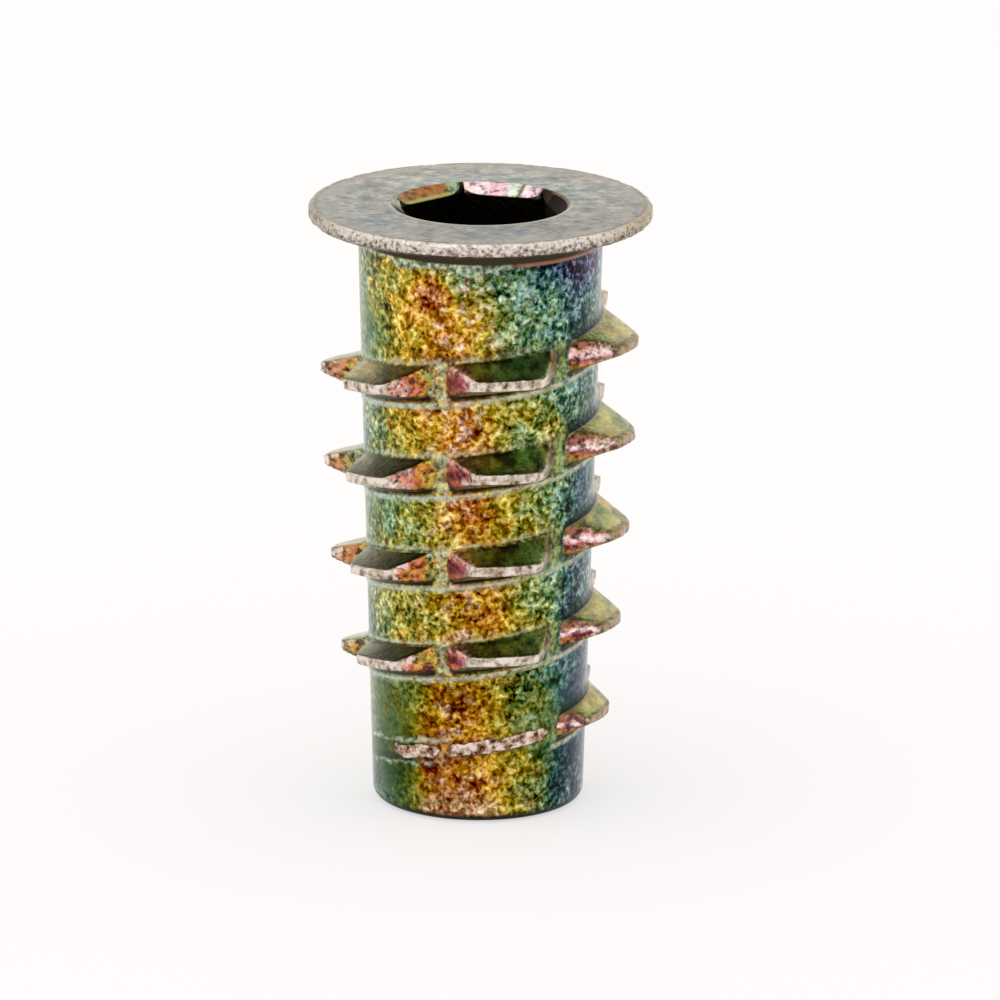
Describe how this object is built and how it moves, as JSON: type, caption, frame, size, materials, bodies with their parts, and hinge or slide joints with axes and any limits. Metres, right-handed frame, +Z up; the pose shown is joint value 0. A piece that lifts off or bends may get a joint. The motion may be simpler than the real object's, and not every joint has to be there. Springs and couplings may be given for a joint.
{
  "type": "threaded insert",
  "caption": "Flanged insert nut for wood with a hex socket drive, a screw hole through its middle and a coarse outer thread of separate knife fins.",
  "frame": {"origin": "centre of the foot, the narrow open end that the insert stands on", "axes": "+Z up along the insert's axis, from the foot to the flange; -Y through the middle of one column of fins"},
  "size_m": [0.014, 0.014, 0.025],
  "materials": {
    "yellow_chromate": "iridescent yellow chromate on as-cast zinc alloy"
  },
  "bodies": {
    "root": {"insert_body": "yellow_chromate"}
  },
  "joints": []
}
